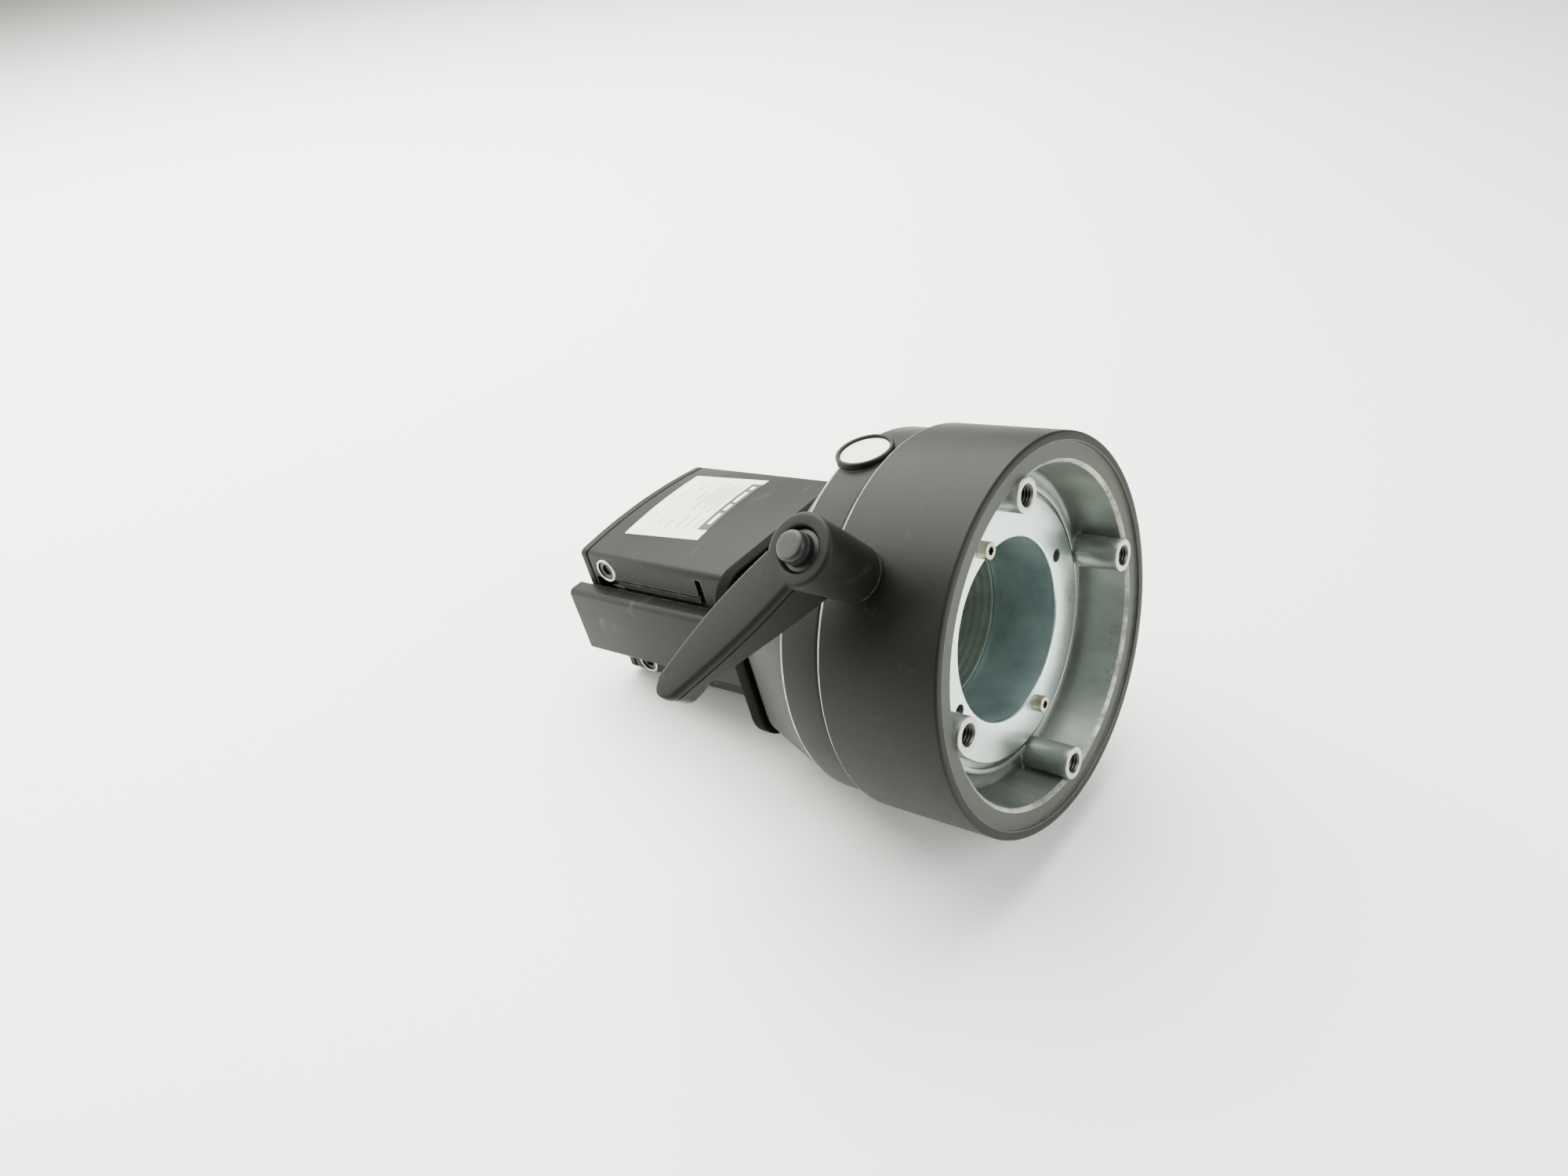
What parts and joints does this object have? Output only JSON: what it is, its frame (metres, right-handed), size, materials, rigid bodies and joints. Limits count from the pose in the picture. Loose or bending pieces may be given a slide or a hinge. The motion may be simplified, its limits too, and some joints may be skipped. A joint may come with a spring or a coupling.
{
  "type": "swivel coupling for a suspended operator panel",
  "caption": "Swivel coupling that carries an operator panel on a suspended support arm, with a round enclosure drum, a push-button clamping lever and a rectangular arm socket.",
  "frame": {"origin": "on the swivel axis, in the plane of the four enclosure boss faces and the drum's rim", "axes": "+X along the swivel axis, out of the drum's open face towards the enclosure; +Z towards the side that carries the rating label; the clamping lever stands on the -Y, +Z side"},
  "size_m": [0.2136, 0.1918, 0.1617],
  "materials": {
    "painted_casting": "satin charcoal powder coat over die-cast aluminium",
    "zinc_plate": "bright blue zinc plate",
    "yellow_zinc_screw": "yellow zinc plate",
    "screw_steel": "satin zinc plate",
    "bush_steel": "dark machined steel",
    "brass_shoe": "machined",
    "bearing_polymer": "sliding polymer",
    "seal_rubber": "matt black",
    "white_plastic": "off-white moulded",
    "button_plastic": "grey moulded",
    "label_film": "cream self-adhesive film"
  },
  "bodies": {
    "arm": {"neck_casting": "painted_casting", "neck_gasket": "seal_rubber", "tube_housing": "painted_casting", "end_frame": "painted_casting", "side_cover_left": "painted_casting", "side_cover_right": "painted_casting", "tube_clamp_screws": "screw_steel", "joint_screws": "screw_steel", "joint_washers": "screw_steel", "label_plate": "label_film", "flanged_sleeve": "zinc_plate", "sleeve_screws": "yellow_zinc_screw", "friction_ring": "bearing_polymer", "front_bearing": "bearing_polymer", "rear_bearing": "bearing_polymer", "thrust_ring": "bearing_polymer", "swivel_seal": "seal_rubber", "plug_cap": "white_plastic", "stop_screw": "screw_steel"},
    "drum": {"drum_housing": "painted_casting", "clamp_bush": "bush_steel", "brake_shoe": "brass_shoe"},
    "stud": {"lever_stud": "screw_steel", "retainer_screw": "screw_steel", "retainer_washer": "screw_steel", "button_spring": "screw_steel"},
    "handle": {"lever_handle": "painted_casting"},
    "button": {"push_button": "button_plastic"}
  },
  "joints": [
    {"name": "swivel", "type": "hinge", "parent": "arm", "child": "drum", "pos_m": [0, 0, 0], "axis": [1, 0, 0], "range_deg": [-145, 145]},
    {"name": "clamp_turn", "type": "hinge", "parent": "drum", "child": "stud", "pos_m": [-0.036, 0, 0], "axis": [0, -0.7009, 0.7133], "range_deg": [0, 90]},
    {"name": "lever_index", "type": "hinge", "parent": "stud", "child": "handle", "pos_m": [-0.036, 0, 0], "axis": [0, -0.7009, 0.7133], "continuous": true},
    {"name": "button_press", "type": "slide", "parent": "handle", "child": "button", "axis": [0, 0.7009, -0.7133], "range_m": [0, 0.003], "stiffness_N_per_m": 400, "springref_m": -0.006}
  ]
}
